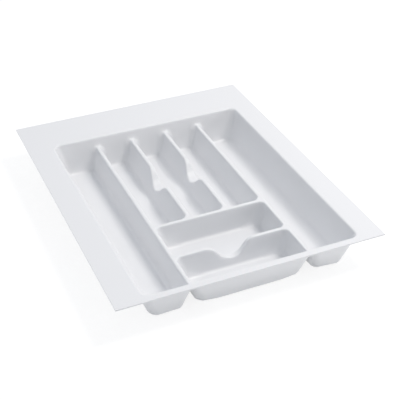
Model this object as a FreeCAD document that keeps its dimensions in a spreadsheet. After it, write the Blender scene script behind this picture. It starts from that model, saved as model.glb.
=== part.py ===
import FreeCAD, Part
import os

# Drop-in drawer tray for cutlery, vacuum formed from one plastic sheet.
# Millimetres, +Z up. Origin: middle of the footprint, on the plane the tray stands on.
# +X is to the right and +Y is to the back, the wide trimming flange being at the back.

V = FreeCAD.Vector
doc = FreeCAD.newDocument("cutlery_tray")

sheet = doc.addObject("Spreadsheet::Sheet", "Sizes")

DRIVING = [
    ("tray_width", "432", "left to right over the flange"),
    ("tray_depth", "540", "front to back over the flange"),
    ("tray_height", "58.5", "flange top to the undersides of the bins"),
    ("gauge", "2", "thickness of the formed sheet"),
    ("flange_left", "44.5", "flange width, edge to recess"),
    ("flange_right", "39", "flange width, edge to recess"),
    ("flange_back", "86", "flange width, edge to recess"),
    ("flange_front", "12.5", "flange width, edge to recess"),
    ("border", "6", "flat flange that stays with the bins"),
    ("lip_radius", "2.5", "rounding where the flange turns down"),
    ("land_drop", "15", "divider tops below the flange top"),
    ("land_width", "6.2", "top of a lengthwise divider"),
    ("cross_land", "6.5", "top of a crosswise divider"),
    ("left_share", "75", "left bin's share of the recess width"),
    ("narrow_share", "58", "each narrow bin's share of the recess width"),
    ("right_share", "74.7", "right bin's share of the recess width"),
    ("front_share", "79.9", "front cross bin's share of the recess depth"),
    ("rear_share", "76.6", "rear cross bin's share of the recess depth"),
    ("long_share", "272", "narrow bins' share of the recess depth"),
    ("cross_extra", "1.1", "how far the cross bins reach past the narrow ones"),
    ("side_draft", "17", "lean of the walls that face left or right, degrees"),
    ("end_draft", "14", "lean of the recess's front and back walls, degrees"),
    ("cross_draft", "5", "lean of the crosswise dividers' faces, degrees"),
    ("floor_radius", "10", "rounding along the foot of a bin's side walls"),
    ("corner_radius", "10", "rounding in a bin's corners and at its ends"),
    ("scoop_slope", "46", "slope of a scoop's flanks, degrees"),
    ("scoop_depth", "23.5", "depth of the lengthwise dividers' scoops below the divider tops"),
    ("scoop_floor", "22", "floor of those scoops"),
    ("scoop_place", "0.4835", "middle of those scoops, as a part of the narrow bins' length"),
    ("cross_scoop_depth", "27", "depth of the cross divider's scoop below the divider top"),
    ("cross_scoop_floor", "23", "floor of that scoop"),
    ("cross_scoop_place", "0.5", "middle of that scoop, as a part of the cross bins' length"),
    ("scoop_round", "9", "rounding at a scoop's floor"),
    ("scoop_shoulder", "7.5", "rounding at a scoop's shoulders"),
]

# Worked-out sizes, each a formula on the ones above. The bins share what the lands leave.
DERIVED = [
    ("land_top", "=tray_height - land_drop"),
    ("side_lean", "=tan(side_draft * 1 deg)"),
    ("end_lean", "=tan(end_draft * 1 deg)"),
    ("cross_lean", "=tan(cross_draft * 1 deg)"),
    ("side_skin", "=gauge / cos(side_draft * 1 deg)"),
    ("end_skin", "=gauge / cos(end_draft * 1 deg)"),
    ("cross_skin", "=gauge / cos(cross_draft * 1 deg)"),
    ("recess_west", "=flange_left - tray_width / 2"),
    ("recess_east", "=tray_width / 2 - flange_right"),
    ("recess_south", "=flange_front - tray_depth / 2"),
    ("recess_north", "=tray_depth / 2 - flange_back"),
    ("land_west", "=recess_west + land_drop * side_lean"),
    ("land_east", "=recess_east - land_drop * side_lean"),
    ("land_south", "=recess_south + land_drop * end_lean"),
    ("land_north", "=recess_north - land_drop * end_lean"),
    ("width_left", "=recess_east - recess_west - 4 * land_width"),
    ("width_scale", "=width_left / (left_share + 3 * narrow_share + right_share)"),
    ("left_mouth", "=left_share * width_scale"),
    ("narrow_mouth", "=narrow_share * width_scale"),
    ("depth_left", "=recess_north - recess_south - 2 * cross_land"),
    ("depth_scale", "=depth_left / (front_share + rear_share + long_share)"),
    ("front_mouth", "=front_share * depth_scale"),
    ("rear_mouth", "=rear_share * depth_scale"),
    ("first_west", "=recess_west + left_mouth"),
    ("first_east", "=first_west + land_width"),
    ("second_west", "=first_east + narrow_mouth"),
    ("second_east", "=second_west + land_width"),
    ("third_west", "=second_east + narrow_mouth"),
    ("third_east", "=third_west + land_width"),
    ("fourth_west", "=third_east + narrow_mouth"),
    ("fourth_east", "=fourth_west + land_width"),
    ("cross_east", "=fourth_west + cross_extra"),
    ("scooped_south", "=recess_south + front_mouth"),
    ("scooped_north", "=scooped_south + cross_land"),
    ("cross_south", "=scooped_north + rear_mouth"),
    ("cross_north", "=cross_south + cross_land"),
    ("first_line", "=(first_west + first_east) / 2"),
    ("second_line", "=(second_west + second_east) / 2"),
    ("third_line", "=(third_west + third_east) / 2"),
    ("fourth_line", "=(cross_east + fourth_east) / 2"),
    ("scooped_line", "=(scooped_south + scooped_north) / 2"),
    ("cross_line", "=(cross_south + cross_north) / 2"),
    ("edge_west", "=recess_west - border"),
    ("edge_east", "=recess_east + border"),
    ("edge_south", "=recess_south - border"),
    ("edge_north", "=recess_north + border"),
    ("scoop_y", "=cross_north + scoop_place * (recess_north - cross_north)"),
    ("scoop_x", "=first_east + cross_scoop_place * (cross_east - first_east)"),
    ("scoop_bottom", "=land_top - scoop_depth"),
    ("scoop_run", "=scoop_depth / tan(scoop_slope * 1 deg)"),
    ("scoop_span", "=scoop_run + scoop_shoulder + gauge"),
    ("cross_scoop_bottom", "=land_top - cross_scoop_depth"),
    ("cross_scoop_run", "=cross_scoop_depth / tan(scoop_slope * 1 deg)"),
    ("cross_scoop_span", "=cross_scoop_run + scoop_shoulder + gauge"),
    ("scoop_grow", "=gauge / sin(scoop_slope * 1 deg) - gauge / tan(scoop_slope * 1 deg)"),
]

row = 1
for alias, value, note in DRIVING:
    sheet.set("A%d" % row, note)
    sheet.set("B%d" % row, value)
    sheet.setAlias("B%d" % row, alias)
    row += 1
for alias, formula in DERIVED:
    sheet.set("A%d" % row, "worked out: " + alias.replace("_", " "))
    sheet.set("B%d" % row, formula)
    sheet.setAlias("B%d" % row, alias)
    row += 1
doc.recompute()

NAMES = sorted([item[0] for item in DRIVING + DERIVED], key=len, reverse=True)


def cells(text):
    """Put the sheet's name before every size named in a formula."""
    words = text.replace("(", " ( ").replace(")", " ) ").split()
    return " ".join("Sizes." + word if word in NAMES else word for word in words)


def bind(item, **formulas):
    for prop, text in formulas.items():
        item.setExpression(prop, "1 mm * ( " + cells(text) + " )")


def taper(body, low, high, foot, mouth):
    """A block from height low to height high; foot and mouth are (west, east, south, north)."""
    block = doc.addObject("PartDesign::AdditiveWedge", body.Name + "_block")
    body.addObject(block)
    block.Placement = FreeCAD.Placement(V(0, 0, 0), FreeCAD.Rotation(V(1, 0, 0), 90))
    bind(block, Ymin=low, Ymax=high)
    bind(block, Xmin=foot[0], Xmax=foot[1], X2min=mouth[0], X2max=mouth[1])
    bind(block, Zmin="0 - ( " + foot[3] + " )", Zmax="0 - ( " + foot[2] + " )")
    bind(block, Z2min="0 - ( " + mouth[3] + " )", Z2max="0 - ( " + mouth[2] + " )")
    doc.recompute()
    return block


def round_edges(body, base, test, radius):
    """Round the edges of the body's last feature that pass a test."""
    names = ["Edge%d" % (n + 1) for n, edge in enumerate(base.Shape.Edges) if test(edge, base.Shape)]
    fillet = doc.addObject("PartDesign::Fillet", body.Name + "_round")
    body.addObject(fillet)
    fillet.Base = (base, names)
    bind(fillet, Radius=radius)
    doc.recompute()
    return fillet


def heights(edge):
    zs = [v.Point.z for v in edge.Vertexes]
    return min(zs), max(zs)


def side_foot_edges(edge, shape):
    """Edges at the foot of a block that run front to back."""
    low, high = heights(edge)
    run = edge.Vertexes[-1].Point - edge.Vertexes[0].Point
    return high < shape.BoundBox.ZMin + 0.01 and abs(run.y) > 0.9 * run.Length


def end_edges(edge, shape):
    """Edges round the front and back walls of a trough, without the ones at its mouth."""
    low, high = heights(edge)
    if low > shape.BoundBox.ZMax - 0.01:
        return False
    for face in shape.Faces:
        normal = face.normalAt(0.5, 0.5)
        if abs(normal.y) < 0.9 or face.Surface.TypeId != "Part::GeomPlane":
            continue
        if any(edge.isSame(other) for other in face.Edges):
            return True
    return False


def upright_edges(edge, shape):
    low, high = heights(edge)
    return high - low > 1


def trough(name, mouth, ends, skin):
    """One bin's hollow, or its outside when skin is true; ends name its front and back walls' lean."""
    body = doc.addObject("PartDesign::Body", name)
    west, east, south, north = mouth
    low, drop = "gauge", " ( land_top - gauge ) "
    foot_radius, end_radius = "floor_radius", "corner_radius"
    if skin:
        low, drop = "0", " land_top "
        foot_radius, end_radius = "floor_radius + gauge", "corner_radius + gauge"
        west, east = west + " - side_skin", east + " + side_skin"
        south, north = south + " - " + ends[0] + "_skin", north + " + " + ends[1] + "_skin"
    foot = (west + " + side_lean *" + drop, east + " - side_lean *" + drop,
            south + " + " + ends[0] + "_lean *" + drop, north + " - " + ends[1] + "_lean *" + drop)
    block = taper(body, low, "land_top", foot, (west, east, south, north))
    first = round_edges(body, block, side_foot_edges, foot_radius)
    round_edges(body, first, end_edges, end_radius)
    return body


def recess(name, skin):
    """The hollow above the divider tops, or its outside when skin is true."""
    body = doc.addObject("PartDesign::Body", name)
    mouth = ["recess_west", "recess_east", "recess_south", "recess_north"]
    low, drop, radius = "land_top", "land_drop", "corner_radius"
    if skin:
        mouth = ["recess_west - side_skin", "recess_east + side_skin",
                 "recess_south - end_skin", "recess_north + end_skin"]
        low, drop, radius = "land_top - gauge", "( land_drop + gauge )", "corner_radius + gauge"
    foot = (mouth[0] + " + " + drop + " * side_lean", mouth[1] + " - " + drop + " * side_lean",
            mouth[2] + " + " + drop + " * end_lean", mouth[3] + " - " + drop + " * end_lean")
    block = taper(body, low, "tray_height", foot, mouth)
    round_edges(body, block, upright_edges, radius)
    return body


def scoop(name, along, middle, kind, reach, skin):
    """A finger scoop through a divider, or its outside. Its profile runs along X (0) or Y (1)."""
    body = doc.addObject("PartDesign::Body", name)
    half = kind + "_floor / 2"
    low, high = kind + "_bottom", "land_top"
    bottom_radius, top_radius = "scoop_round", "scoop_shoulder"
    if skin:
        half = half + " + scoop_grow"
        low, high = low + " - gauge", "land_top - gauge"
        bottom_radius, top_radius = "scoop_round + gauge", "scoop_shoulder - gauge"
    near, far = middle + " - ( " + half + " )", middle + " + " + half
    wide_near, wide_far = near + " - " + kind + "_run", far + " + " + kind + "_run"
    slab_near, slab_far = near + " - " + kind + "_span", far + " + " + kind + "_span"
    if along == 0:
        foot = (near, far) + reach
        mouth = (wide_near, wide_far) + reach
        slab_size = (slab_near, slab_far) + reach
    else:
        foot = reach + (near, far)
        mouth = reach + (wide_near, wide_far)
        slab_size = reach + (slab_near, slab_far)
    taper(body, low, high, foot, mouth)
    block = taper(body, high, high + " + gauge", slab_size, slab_size)

    def across(edge):
        run = edge.Vertexes[-1].Point - edge.Vertexes[0].Point
        return abs(run[1 - along]) > 0.9 * run.Length

    def shoulder_edges(edge, shape):
        low_z, high_z = heights(edge)
        box = shape.BoundBox
        ends = (box.XMin, box.XMax) if along == 0 else (box.YMin, box.YMax)
        inside = ends[0] + 0.01 < edge.Vertexes[0].Point[along] < ends[1] - 0.01
        return across(edge) and inside and low_z > box.ZMin + 0.01 and high_z < box.ZMax - 0.01

    def bottom_edges(edge, shape):
        return across(edge) and heights(edge)[1] < shape.BoundBox.ZMin + 0.01

    first = round_edges(body, block, shoulder_edges, top_radius)
    round_edges(body, first, bottom_edges, bottom_radius)
    return body


BINS = [
    ("left_long_bin", ("land_west", "first_west", "land_south", "land_north"), ("end", "end")),
    ("left_narrow_bin", ("first_east", "second_west", "cross_north", "land_north"), ("cross", "end")),
    ("middle_narrow_bin", ("second_east", "third_west", "cross_north", "land_north"), ("cross", "end")),
    ("right_narrow_bin", ("third_east", "fourth_west", "cross_north", "land_north"), ("cross", "end")),
    ("right_long_bin", ("fourth_east", "land_east", "land_south", "land_north"), ("end", "end")),
    ("rear_cross_bin", ("first_east", "cross_east", "scooped_north", "cross_south"), ("cross", "cross")),
    ("front_cross_bin", ("first_east", "cross_east", "land_south", "scooped_south"), ("end", "cross")),
]

SCOOPS = [
    ("left_scoop", 1, "scoop_y", "scoop",
     ("first_line + narrow_mouth / 2", "third_line - narrow_mouth / 2")),
    ("right_scoop", 1, "scoop_y", "scoop",
     ("second_line + narrow_mouth / 2", "fourth_line - narrow_mouth / 2")),
    ("cross_scoop", 0, "scoop_x", "cross_scoop",
     ("scooped_south - front_mouth / 2", "scooped_north + rear_mouth / 2")),
]

NODES = [
    ("left_long_bin", ("edge_west", "first_line", "edge_south", "edge_north")),
    ("left_narrow_bin", ("first_line", "second_line", "cross_line", "edge_north")),
    ("middle_narrow_bin", ("second_line", "third_line", "cross_line", "edge_north")),
    ("right_narrow_bin", ("third_line", "fourth_line", "cross_line", "edge_north")),
    ("right_long_bin", ("fourth_line", "edge_east", "edge_south", "edge_north")),
    ("rear_cross_bin", ("first_line", "fourth_line", "scooped_line", "cross_line")),
    ("front_cross_bin", ("first_line", "fourth_line", "edge_south", "scooped_line")),
]

FLANGES = [
    ("back_flange", ("0 - tray_width / 2", "tray_width / 2", "edge_north", "tray_depth / 2")),
    ("front_flange", ("0 - tray_width / 2", "tray_width / 2", "0 - tray_depth / 2", "edge_south")),
    ("left_flange", ("0 - tray_width / 2", "edge_west", "edge_south", "edge_north")),
    ("right_flange", ("edge_east", "tray_width / 2", "edge_south", "edge_north")),
]


def plate(name, bounds, low, high):
    west, east, south, north = bounds
    box = doc.addObject("Part::Box", name)
    bind(box, Length=east + " - ( " + west + " )", Width=north + " - ( " + south + " )",
         Height=high + " - ( " + low + " )")
    box.setExpression("Placement.Base.x", "1 mm * ( " + cells(west) + " )")
    box.setExpression("Placement.Base.y", "1 mm * ( " + cells(south) + " )")
    box.setExpression("Placement.Base.z", "1 mm * ( " + cells(low) + " )")
    return box


rim_bounds = ("edge_west", "edge_east", "edge_south", "edge_north")
rim = plate("rim", rim_bounds, "tray_height - gauge", "tray_height")
outsides = [rim, recess("recess_outside", True)]
hollows = [recess("recess_hollow", False)]
for name, mouth, ends in BINS:
    outsides.append(trough(name + "_outside", mouth, ends, True))
    hollows.append(trough(name + "_hollow", mouth, ends, False))
for name, along, middle, kind, reach in SCOOPS:
    outsides.append(scoop(name + "_outside", along, middle, kind, reach, True))
    hollows.append(scoop(name + "_hollow", along, middle, kind, reach, False))

outside = doc.addObject("Part::MultiFuse", "outside")
outside.Shapes = outsides
hollow = doc.addObject("Part::MultiFuse", "hollow")
hollow.Shapes = hollows
formed = doc.addObject("Part::Cut", "formed")
formed.Base = outside
formed.Tool = hollow
formed.Refine = True
doc.recompute()

# The sheet turns down into the recess over a rounded lip.
skin_body = doc.addObject("PartDesign::Body", "formed_sheet")
skin_body.BaseFeature = formed
doc.recompute()


def lip_edges(edge, shape):
    low, high = heights(edge)
    box = shape.BoundBox
    spot = edge.valueAt((edge.FirstParameter + edge.LastParameter) / 2)
    inside = box.XMin + 1 < spot.x < box.XMax - 1 and box.YMin + 1 < spot.y < box.YMax - 1
    return inside and low > sheet.tray_height - 0.01


lip = round_edges(skin_body, skin_body.Group[0], lip_edges, "lip_radius")

nodes = []
for name, bounds in NODES:
    region = plate(name + "_region", bounds, "0", "tray_height")
    node = doc.addObject("Part::Common", name)
    node.Base = skin_body
    node.Tool = region
    nodes.append(node)
for name, bounds in FLANGES:
    nodes.append(plate(name, bounds, "tray_height - gauge", "tray_height"))
doc.recompute()

for item in doc.Objects:
    bad = [word for word in item.State if word in ("Invalid", "Error")]
    if bad:
        raise RuntimeError("%s is %s" % (item.Name, item.State))
os.makedirs("parts", exist_ok=True)
for node in nodes:
    node.Label = node.Name
    shape = node.Shape
    if shape.isNull() or not shape.isValid() or len(shape.Solids) != 1:
        raise RuntimeError("%s has no good solid: %d" % (node.Name, len(shape.Solids)))
    shape.exportStep("parts/" + node.Label + ".step")
    print(node.Label, shape.BoundBox, round(shape.Volume), len(shape.Faces))
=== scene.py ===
import math

import bpy
import numpy as np
from mathutils import Matrix, Vector


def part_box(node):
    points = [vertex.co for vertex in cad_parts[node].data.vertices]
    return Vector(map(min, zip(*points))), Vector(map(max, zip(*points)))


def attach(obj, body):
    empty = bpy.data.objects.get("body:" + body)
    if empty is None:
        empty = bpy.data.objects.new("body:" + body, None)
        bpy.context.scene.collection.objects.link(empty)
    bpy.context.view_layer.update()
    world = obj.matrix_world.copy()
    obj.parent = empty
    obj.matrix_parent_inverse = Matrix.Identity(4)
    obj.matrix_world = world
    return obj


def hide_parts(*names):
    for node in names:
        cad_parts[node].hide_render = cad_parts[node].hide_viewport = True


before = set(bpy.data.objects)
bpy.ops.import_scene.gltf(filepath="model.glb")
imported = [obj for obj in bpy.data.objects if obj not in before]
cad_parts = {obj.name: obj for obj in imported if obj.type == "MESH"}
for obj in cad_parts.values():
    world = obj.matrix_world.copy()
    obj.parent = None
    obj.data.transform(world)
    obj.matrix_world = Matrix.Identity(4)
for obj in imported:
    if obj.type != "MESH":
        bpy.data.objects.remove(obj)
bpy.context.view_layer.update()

MM = 0.001

# Sizes of the formed sheet in millimetres, the same as in the part's source.
FLANGE_TOP = 58.5
GAUGE = 2.0
RECESS_DEPTH = 15.0
RECESS_WEST = -171.5
RECESS_EAST = 177.0
RECESS_SOUTH = -257.5
RECESS_NORTH = 184.0
LAND_TOP = FLANGE_TOP - RECESS_DEPTH
LAND_WIDTH = 6.2
CROSS_LAND = 6.5
FIRST_WEST = -96.5
PITCH = 64.2
CROSS_EXTRA = 1.1
SCOOPED_SOUTH = -177.6
SCOOPED_NORTH = SCOOPED_SOUTH + CROSS_LAND
CROSS_SOUTH = -94.5
CROSS_NORTH = CROSS_SOUTH + CROSS_LAND
SIDE_DRAFT = math.radians(17.0)
END_DRAFT = math.radians(14.0)
CROSS_DRAFT = math.radians(5.0)
FULL_DROP = FLANGE_TOP - GAUGE
LAND_DROP = LAND_TOP - GAUGE

# The four lengthwise dividers: west and east edge of each top, and the lean of its west and east face.
DIVIDERS = [(FIRST_WEST + n * PITCH, FIRST_WEST + n * PITCH + LAND_WIDTH) for n in range(4)]
DIVIDER_DRAFTS = [(math.radians(west), math.radians(east))
                  for west, east in ((14.0, 12.0), (17.0, 12.0), (17.0, 12.0), (17.0, 9.0))]

# The ends of the two cross bins.
CROSS_WEST = DIVIDERS[0][1]
CROSS_EAST = DIVIDERS[3][0] + CROSS_EXTRA
CROSS_END_DRAFT = math.radians(6.5)

# Finger scoops. Each flank has its distance from the scoop's middle at the bottom, and its slope.
SCOOP_BOTTOM = LAND_TOP - 23.5
SCOOP_Y = 43.5
SCOOP_FLANKS = ((12.6, math.radians(47.0)), (6.5, math.radians(45.0)))
SCOOP_REACH = PITCH / 2
CROSS_SCOOP_BOTTOM = LAND_TOP - 27.0
CROSS_SCOOP_X = (CROSS_WEST + CROSS_EAST) / 2
CROSS_SCOOP_FLANKS = ((11.5, math.radians(48.0)), (12.4, math.radians(58.0)))
CROSS_SCOOP_REACH = 38.0
SCOOP_ROUND = 9.0
SCOOP_SHOULDER = 7.5

# Roundings that the heated sheet takes as it is drawn on to the mould: edges and feet.
LIP_RADIUS = 2.5
LAND_RADIUS = 1.9
LAND_FOOT = 2.0
SIDE_FOOT = 10.0
SHADED_FOOT = 5.0
MIDDLE_SHADED_FOOT = 8.0
END_FOOT = 5.0
FRONT_FOOT = 8.5
FOOT_BLEND = 24.0

# Upright corners. A widening is what a corner gains from the land down to the bin's floor. The back corners
# are tight at the land, open over a share of the depth, and close again to the foot.
UPRIGHT_RADIUS = 12.0
CROSS_CORNER = 8.5
DEEP_CORNER = 26.0
FRONT_CORNER = 6.5
FRONT_WIDENING = 5.0
RIGHT_WEST_WIDENING = 11.0
RIGHT_EAST_WIDENING = 3.0
BACK_TOP_CORNER = 5.5
BACK_CORNER = 12.5
BACK_FOOT_CORNER = 6.0
BACK_OPENING_SHARE = 0.16

# Search for the sheet's height.
SEARCH_MARGIN = 1.0
HALVINGS = 26

# Grid lines over the blank: how they lie on a wall, round the scoops, and on the flats.
LEAST_STEP = 0.45
EDGE_OFFSETS = [-3.0, -2.1, -1.4, -0.8, -0.3, 0.2, 0.8]
FACE_START = 1.5
FACE_STEP = 1.5
FACE_END_GAP = 0.4
FOOT_TURN = np.radians(np.linspace(28.0, 92.0, 7))
FOOT_SHIFT = 0.9
CORNER_MARGIN = 2.0
CORNER_STEP = 1.7
SCOOP_SPAN = 52.0
SCOOP_STEP = 2.6
CROSS_SCOOP_SPAN = 48.0
CROSS_SCOOP_STEP = 2.5
FLAT_STEP = 15.0
FLANGE_COLUMNS = [-195.0, 200.0]
FLANGE_ROWS = [210.0, 240.0]

SMOOTH_ANGLE = math.radians(50.0)

# The photograph's camera: its width in pixels, focal length in pixels, and distance in millimetres.
PHOTO_WIDTH = 400.0
FOCAL_PIXELS = 930.69
CAMERA_DISTANCE = 1488.17
CAMERA_TARGET = (-3.471, -71.794, FLANGE_TOP)
CAMERA_AZIMUTH = math.radians(-23.42)
CAMERA_ELEVATION = math.radians(34.23)
CAMERA_ROLL = math.radians(-0.379)
SENSOR_WIDTH = 36.0

# Studio light, in metres and watts.
FLOOR_SIZE = 14.0
FLOOR_LEVEL = -0.0003
LAMP_AIM = Vector((0.0, 0.0, 0.03))
DOME_COLOUR = (0.915, 0.945, 1.0, 1.0)
WHITE = (1.0, 1.0, 1.0, 1.0)


def hollow_corner(a, b, radius):
    """Meet of two hollows with a rounded inside corner. Values are distances into the plastic."""
    ra, rb = a + radius, b + radius
    arc = np.sqrt(np.maximum(ra, 0.0) ** 2 + np.maximum(rb, 0.0) ** 2) - radius
    return np.where((ra > 0.0) & (rb > 0.0), arc, np.maximum(a, b))


def rounded_edge(a, b, radius):
    """Two hollows joined over a rounded outside edge."""
    return -hollow_corner(-a, -b, radius)


def wall(place, edge, toward, z, level, draft):
    """Distance past a leaning wall whose edge is at a level, the hollow lying toward +1 or -1."""
    return ((edge - place) * toward + (level - z) * math.tan(draft)) * math.cos(draft)


def bin_hollow(z, sides, ends, corner, front_foot, side_feet):
    """One bin's hollow from its side and end walls. Its foot radius blends from the ends to the sides."""
    side = np.maximum(*sides)
    end = np.maximum(*ends)
    share = np.clip(0.5 + (side - end) / FOOT_BLEND, 0.0, 1.0)
    share = share * share * (3.0 - 2.0 * share)
    end_foot = np.where(ends[0] > ends[1], front_foot, END_FOOT)
    side_foot = np.where(sides[0] > sides[1], side_feet[0], side_feet[1])
    foot = end_foot + (side_foot - end_foot) * share
    return hollow_corner(hollow_corner(side, end, corner), GAUGE - z, foot)


def scoop_hollow(along, across, z, bottom, middle, flanks, line, reach):
    """A finger scoop cut down through the divider that runs along a line."""
    sides = []
    for toward, (half, slope) in zip((-1, 1), flanks):
        flank = (along - middle) * toward - half - (z - bottom) / math.tan(slope)
        sides.append(flank * math.sin(slope))
    dip = hollow_corner(np.maximum(*sides), bottom - z, SCOOP_ROUND)
    return np.maximum(dip, np.abs(across - line) - reach)


def space_over_lands(x, y, z, recess):
    """The open space above the dividers' tops, with the finger scoops let into it."""
    above = hollow_corner(LAND_TOP - z, recess, LAND_FOOT)
    for west_edge, east_edge in DIVIDERS[1:3]:
        line = (west_edge + east_edge) / 2
        dip = scoop_hollow(y, x, z, SCOOP_BOTTOM, SCOOP_Y, SCOOP_FLANKS, line, SCOOP_REACH)
        above = rounded_edge(above, dip, SCOOP_SHOULDER)
    line = (SCOOPED_SOUTH + SCOOPED_NORTH) / 2
    dip = scoop_hollow(x, y, z, CROSS_SCOOP_BOTTOM, CROSS_SCOOP_X, CROSS_SCOOP_FLANKS, line,
                       CROSS_SCOOP_REACH)
    return rounded_edge(above, dip, SCOOP_SHOULDER)


def bin_hollows(x, y, z, west, east, south, north):
    """The seven bins, from the recess's four walls and the dividers' faces."""
    faces = [(wall(x, west_edge, -1, z, LAND_TOP, drafts[0]), wall(x, east_edge, 1, z, LAND_TOP, drafts[1]))
             for (west_edge, east_edge), drafts in zip(DIVIDERS, DIVIDER_DRAFTS)]
    long_ends = (south, north)
    cross_sides = (wall(x, CROSS_WEST, 1, z, LAND_TOP, CROSS_END_DRAFT),
                   wall(x, CROSS_EAST, -1, z, LAND_TOP, CROSS_END_DRAFT))
    rear_ends = (wall(y, SCOOPED_NORTH, 1, z, LAND_TOP, CROSS_DRAFT),
                 wall(y, CROSS_SOUTH, -1, z, LAND_TOP, CROSS_DRAFT))
    front_ends = (south, wall(y, SCOOPED_SOUTH, -1, z, LAND_TOP, CROSS_DRAFT))
    narrow_ends = (wall(y, CROSS_NORTH, 1, z, LAND_TOP, CROSS_DRAFT), north)

    depth = np.clip((LAND_TOP - z) / LAND_DROP, 0.0, 1.0)
    opened = np.clip(depth / BACK_OPENING_SHARE, 0.0, 1.0)
    back = BACK_TOP_CORNER + (BACK_CORNER - BACK_TOP_CORNER) * opened
    back = back + (BACK_FOOT_CORNER - BACK_CORNER) * depth
    cross_corner = CROSS_CORNER + (DEEP_CORNER - CROSS_CORNER) * depth
    left_corner = np.where(north > south, back, FRONT_CORNER + FRONT_WIDENING * depth)
    left_corner = np.where(faces[0][0] > west, left_corner, UPRIGHT_RADIUS)
    right_corner = np.where(faces[3][1] > east, UPRIGHT_RADIUS + RIGHT_WEST_WIDENING * depth,
                            UPRIGHT_RADIUS + RIGHT_EAST_WIDENING * depth)
    right_corner = np.where(north > south, back, right_corner)
    narrow_corner = np.where(narrow_ends[1] > narrow_ends[0], back, UPRIGHT_RADIUS)

    bins = [bin_hollow(z, (west, faces[0][0]), long_ends, left_corner, FRONT_FOOT, (SIDE_FOOT, SHADED_FOOT)),
            bin_hollow(z, (faces[3][1], east), long_ends, right_corner, FRONT_FOOT, (SIDE_FOOT, SIDE_FOOT)),
            bin_hollow(z, cross_sides, rear_ends, cross_corner, END_FOOT, (END_FOOT, END_FOOT)),
            bin_hollow(z, cross_sides, front_ends, cross_corner, FRONT_FOOT, (SIDE_FOOT, SIDE_FOOT))]
    for n, east_foot in enumerate((SHADED_FOOT, MIDDLE_SHADED_FOOT, SHADED_FOOT)):
        sides = (faces[n][1], faces[n + 1][0])
        bins.append(bin_hollow(z, sides, narrow_ends, narrow_corner, END_FOOT, (SIDE_FOOT, east_foot)))
    return bins


def plastic_depth(x, y, z):
    """How far a point lies inside the plastic or the mould below it. In open air it is negative."""
    west = wall(x, RECESS_WEST, 1, z, FLANGE_TOP, SIDE_DRAFT)
    east = wall(x, RECESS_EAST, -1, z, FLANGE_TOP, SIDE_DRAFT)
    south = wall(y, RECESS_SOUTH, 1, z, FLANGE_TOP, END_DRAFT)
    north = wall(y, RECESS_NORTH, -1, z, FLANGE_TOP, END_DRAFT)
    recess = hollow_corner(np.maximum(west, east), np.maximum(south, north), UPRIGHT_RADIUS)
    inside = space_over_lands(x, y, z, recess)
    for hollow in bin_hollows(x, y, z, west, east, south, north):
        inside = rounded_edge(inside, hollow, LAND_RADIUS)
    return rounded_edge(np.maximum(inside, recess), FLANGE_TOP - z, LIP_RADIUS)


def drawn_height(x, y):
    """Height of the sheet's upper face at each place, found by halving."""
    low = np.full(x.shape, -SEARCH_MARGIN)
    high = np.full(x.shape, FLANGE_TOP + SEARCH_MARGIN)
    for _ in range(HALVINGS):
        middle = (low + high) / 2
        solid = plastic_depth(x, y, middle) > 0.0
        low = np.where(solid, middle, low)
        high = np.where(solid, high, middle)
    return (low + high) / 2


def spaced(low, high, step):
    """Even places from low to high."""
    return list(np.arange(low, high + 0.5 * step, step))


def wall_lines(edge, toward, drop, draft, foot):
    """Places for grid lines over a wall: round its top edge, down its face, round its foot and corners."""
    run = drop * math.tan(draft)
    face = list(np.linspace(FACE_START, run - FACE_END_GAP, max(3, int(run / FACE_STEP))))
    base = [run + FOOT_SHIFT * foot - foot * math.cos(angle) for angle in FOOT_TURN]
    corner = spaced(max(run, CORNER_MARGIN), UPRIGHT_RADIUS + CORNER_MARGIN, CORNER_STEP)
    return [edge + toward * offset for offset in EDGE_OFFSETS + face + base + corner]


def plan_box(node):
    """A CAD node's lowest and highest place in plan, in millimetres."""
    return [[round(value / MM, 2) for value in corner[:2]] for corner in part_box(node)]


def with_seams(places, axis):
    """Grid lines in order, none too close together, with one on every line where two nodes meet."""
    seams = sorted({corner[axis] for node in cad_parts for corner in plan_box(node)})
    kept = []
    for place in sorted(places):
        clear = min(abs(place - seam) for seam in seams) >= LEAST_STEP
        if clear and (not kept or place - kept[-1] >= LEAST_STEP):
            kept.append(place)
    return sorted(kept + seams)


def grid_columns():
    """Places across the tray for the blank's grid lines."""
    places = wall_lines(RECESS_WEST, 1, FULL_DROP, SIDE_DRAFT, SIDE_FOOT)
    places += wall_lines(RECESS_EAST, -1, FULL_DROP, SIDE_DRAFT, SIDE_FOOT)
    for (west_edge, east_edge), drafts in zip(DIVIDERS, DIVIDER_DRAFTS):
        places += wall_lines(west_edge, -1, LAND_DROP, drafts[0], SHADED_FOOT)
        places += wall_lines(east_edge, 1, LAND_DROP, drafts[1], SIDE_FOOT)
    places += wall_lines(CROSS_WEST, 1, LAND_DROP, CROSS_END_DRAFT, SIDE_FOOT)
    places += wall_lines(CROSS_EAST, -1, LAND_DROP, CROSS_END_DRAFT, SIDE_FOOT)
    places += spaced(CROSS_SCOOP_X - CROSS_SCOOP_SPAN, CROSS_SCOOP_X + CROSS_SCOOP_SPAN, CROSS_SCOOP_STEP)
    return with_seams(places + FLANGE_COLUMNS, 0)


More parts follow.
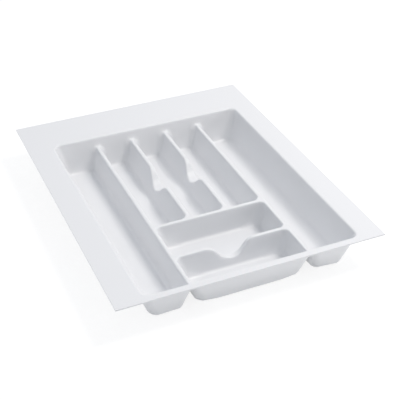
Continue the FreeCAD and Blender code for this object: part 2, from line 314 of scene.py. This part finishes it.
def grid_rows():
    """Places along the tray for the blank's grid lines."""
    places = wall_lines(RECESS_SOUTH, 1, FULL_DROP, END_DRAFT, FRONT_FOOT)
    places += wall_lines(RECESS_NORTH, -1, FULL_DROP, END_DRAFT, END_FOOT)
    for edge, toward in ((SCOOPED_SOUTH, -1), (SCOOPED_NORTH, 1), (CROSS_SOUTH, -1), (CROSS_NORTH, 1)):
        places += wall_lines(edge, toward, LAND_DROP, CROSS_DRAFT, END_FOOT)
    places += spaced(SCOOP_Y - SCOOP_SPAN, SCOOP_Y + SCOOP_SPAN, SCOOP_STEP)
    places += spaced(-60.0, -15.0, FLAT_STEP) + spaced(100.0, 160.0, FLAT_STEP)
    return with_seams(places + FLANGE_ROWS, 1)


columns = grid_columns()
rows = grid_rows()


def thicken(piece):
    """Give the active piece the sheet's gauge, below its upper face."""
    gauge = piece.modifiers.new("gauge", "SOLIDIFY")
    gauge.thickness = GAUGE * MM
    gauge.offset = -1.0
    gauge.use_even_offset = True
    gauge.use_quality_normals = True
    bpy.ops.object.modifier_apply(modifier=gauge.name)


def formed_piece(node):
    """One node's share of a flat blank, gridded more closely where it bends, drawn down on to the mould."""
    (west, south), (east, north) = plan_box(node)
    own_columns = np.array([place for place in columns if west <= place <= east])
    own_rows = np.array([place for place in rows if south <= place <= north])
    bpy.ops.object.select_all(action="DESELECT")
    bpy.ops.mesh.primitive_grid_add(x_subdivisions=len(own_columns) - 1,
                                    y_subdivisions=len(own_rows) - 1, size=1.0)
    piece = bpy.context.active_object
    piece.name = node + "_sheet"
    piece.data.name = piece.name
    places = np.empty(len(piece.data.vertices) * 3)
    piece.data.vertices.foreach_get("co", places)
    places = places.reshape(-1, 3)
    across = np.rint((places[:, 0] + 0.5) * (len(own_columns) - 1)).astype(int)
    along = np.rint((places[:, 1] + 0.5) * (len(own_rows) - 1)).astype(int)
    x = own_columns[across]
    y = own_rows[along]
    drawn = np.stack([x, y, drawn_height(x, y)], axis=1) * MM
    piece.data.vertices.foreach_set("co", drawn.ravel())
    piece.data.update()
    thicken(piece)
    bpy.ops.object.shade_smooth_by_angle(angle=SMOOTH_ANGLE)
    return piece


class Field:
    """A shader socket that takes part in Python arithmetic."""

    def __init__(self, tree, socket):
        self.tree = tree
        self.socket = socket

    def node(self, kind, settings=None, out=0, **inputs):
        """A new node. An input is given by its name, with _ for a space, or by its number after n."""
        made = self.tree.nodes.new(kind)
        for name, value in (settings or {}).items():
            setattr(made, name, value)
        for name, value in inputs.items():
            key = int(name[1:]) if name[0] == "n" and name[1:].isdigit() else name.replace("_", " ")
            if isinstance(value, Field):
                self.tree.links.new(value.socket, made.inputs[key])
            else:
                made.inputs[key].default_value = value
        return Field(self.tree, made.outputs[out] if len(made.outputs) else None)

    def maths(self, operation, first, second):
        return self.node("ShaderNodeMath", {"operation": operation}, n0=first, n1=second)

    def __add__(self, other):
        return self.maths("ADD", self, other)

    def __radd__(self, other):
        return self.maths("ADD", other, self)

    def __mul__(self, other):
        return self.maths("MULTIPLY", self, other)

    def __rmul__(self, other):
        return self.maths("MULTIPLY", other, self)


def emptied(tree):
    """A node tree with nothing in it, ready for new nodes."""
    for node in list(tree.nodes):
        tree.nodes.remove(node)
    return Field(tree, None)


def new_material(name):
    material = bpy.data.materials.new(name)
    material.use_nodes = True
    return material, emptied(material.node_tree)


def satin_white():
    """White styrene sheet: a satin face with a fine grain, smoother where it was drawn thin."""
    material, make = new_material("satin_white_sheet")
    place = make.node("ShaderNodeTexCoord", out="Object")
    height = make.node("ShaderNodeSeparateXYZ", out="Z", Vector=place)
    thick = make.node("ShaderNodeMapRange", {"interpolation_type": "SMOOTHSTEP"}, Value=height,
                      From_Min=0.012, From_Max=0.054, To_Min=0.0, To_Max=1.0)
    cloud = make.node("ShaderNodeTexNoise", Vector=place, Scale=7.0, Detail=3.0, Roughness=0.5)
    grain = make.node("ShaderNodeTexNoise", Vector=place, Scale=950.0, Detail=2.0, Roughness=0.55)
    pores = make.node("ShaderNodeTexVoronoi", {"feature": "SMOOTH_F1"}, Vector=place, Scale=520.0)
    shade = make.node("ShaderNodeMix", {"data_type": "RGBA"}, out=2, n0=cloud,
                      n6=(0.764, 0.772, 0.788, 1.0), n7=(0.784, 0.792, 0.807, 1.0))
    roughness = 0.34 + cloud * 0.08 + grain * 0.06 + thick * 0.04
    relief = grain * 0.5 + pores * 0.5
    bump = make.node("ShaderNodeBump", Strength=0.05, Distance=0.0002, Height=relief)
    shader = make.node("ShaderNodeBsdfPrincipled", Base_Color=shade, Roughness=roughness, Normal=bump,
                       IOR=1.53)
    make.node("ShaderNodeOutputMaterial", Surface=shader)
    return material


def seen_rays(make):
    """One for what the camera sees, also in a reflection or through glass, and nought for other light."""
    path = make.node("ShaderNodeLightPath")
    rays = path.socket.node.outputs
    seen = Field(path.tree, rays["Is Camera Ray"]) + Field(path.tree, rays["Is Glossy Ray"])
    return seen + Field(path.tree, rays["Is Transmission Ray"])


def pale_floor():
    """White to the camera where it is fully lit, a plain pale board to everything else."""
    material, make = new_material("pale_floor")
    seen = seen_rays(make)
    paper = make.node("ShaderNodeBsdfDiffuse", Color=(0.9, 0.9, 0.9, 1.0))
    backlight = make.node("ShaderNodeEmission", Color=WHITE, Strength=0.12)
    board = make.node("ShaderNodeAddShader", n0=paper, n1=backlight)
    lit = make.node("ShaderNodeBsdfDiffuse", Color=(0.25, 0.25, 0.25, 1.0))
    glow = make.node("ShaderNodeEmission", Color=WHITE, Strength=0.82)
    shown = make.node("ShaderNodeAddShader", n0=lit, n1=glow)
    mixed = make.node("ShaderNodeMixShader", n0=seen, n1=board, n2=shown)
    make.node("ShaderNodeOutputMaterial", Surface=mixed)
    return material


def studio_floor():
    bpy.ops.object.select_all(action="DESELECT")
    bpy.ops.mesh.primitive_plane_add(size=FLOOR_SIZE, location=(0.0, 0.0, FLOOR_LEVEL))
    floor = bpy.context.active_object
    floor.name = "studio_floor"
    floor.data.materials.append(pale_floor())


def studio_dome():
    """Soft light from all round, fuller from above and behind, and plain white to the camera."""
    world = bpy.data.worlds.new("studio_world")
    world.use_nodes = True
    bpy.context.scene.world = world
    make = emptied(world.node_tree)
    seen = seen_rays(make)
    toward = make.node("ShaderNodeTexCoord", out="Generated")
    lean = make.node("ShaderNodeVectorMath", {"operation": "DOT_PRODUCT"}, out="Value", n0=toward,
                     n1=(0.0, 0.6, 0.8))
    share = make.node("ShaderNodeMapRange", {"interpolation_type": "SMOOTHSTEP"}, Value=lean,
                      From_Min=-0.2, From_Max=0.8, To_Min=0.0, To_Max=1.0)
    dim = make.node("ShaderNodeBackground", Color=DOME_COLOUR, Strength=0.337)
    full = make.node("ShaderNodeBackground", Color=DOME_COLOUR, Strength=0.795)
    soft = make.node("ShaderNodeMixShader", n0=share, n1=dim, n2=full)
    white = make.node("ShaderNodeBackground", Color=WHITE, Strength=1.0)
    sky = make.node("ShaderNodeMixShader", n0=seen, n1=soft, n2=white)
    make.node("ShaderNodeOutputWorld", Surface=sky)


def studio_lamp(name, spot, size, power, colour):
    """A square lamp that looks at the tray."""
    lamp = bpy.data.lights.new(name, "AREA")
    lamp.size = size
    lamp.energy = power
    lamp.color = colour
    holder = bpy.data.objects.new(name, lamp)
    bpy.context.scene.collection.objects.link(holder)
    holder.location = spot
    aim = LAMP_AIM - Vector(spot)
    holder.rotation_euler = aim.to_track_quat("-Z", "Y").to_euler()


def photo_camera():
    """The camera that the photograph's straight edges give."""
    level_reach = math.cos(CAMERA_ELEVATION)
    back = Vector((math.sin(CAMERA_AZIMUTH) * level_reach, -math.cos(CAMERA_AZIMUTH) * level_reach,
                   math.sin(CAMERA_ELEVATION)))
    level = Vector((0.0, 0.0, 1.0)).cross(back).normalized()
    upright = back.cross(level)
    right = level * math.cos(CAMERA_ROLL) + upright * math.sin(CAMERA_ROLL)
    up = upright * math.cos(CAMERA_ROLL) - level * math.sin(CAMERA_ROLL)
    turn = Matrix((right, up, back)).transposed().to_4x4()
    lens = bpy.data.cameras.new("photo_camera")
    lens.sensor_width = SENSOR_WIDTH
    lens.lens = FOCAL_PIXELS * SENSOR_WIDTH / PHOTO_WIDTH
    holder = bpy.data.objects.new("photo_camera", lens)
    bpy.context.scene.collection.objects.link(holder)
    place = Vector(CAMERA_TARGET) * MM + back * CAMERA_DISTANCE * MM
    holder.matrix_world = Matrix.Translation(place) @ turn
    bpy.context.scene.camera = holder


sheet_material = satin_white()
for node in sorted(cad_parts):
    piece = formed_piece(node)
    piece.data.materials.append(sheet_material)
    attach(piece, "root")
    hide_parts(node)
studio_floor()
studio_dome()
studio_lamp("key_lamp", (1.16, -0.226, 2.089), 0.65, 28.4, (1.0, 0.955, 0.91))
studio_lamp("low_lamp", (1.688, -1.688, 0.251), 0.9, 9.0, (1.0, 1.0, 1.0))
photo_camera()
bpy.context.scene.view_settings.view_transform = "Standard"
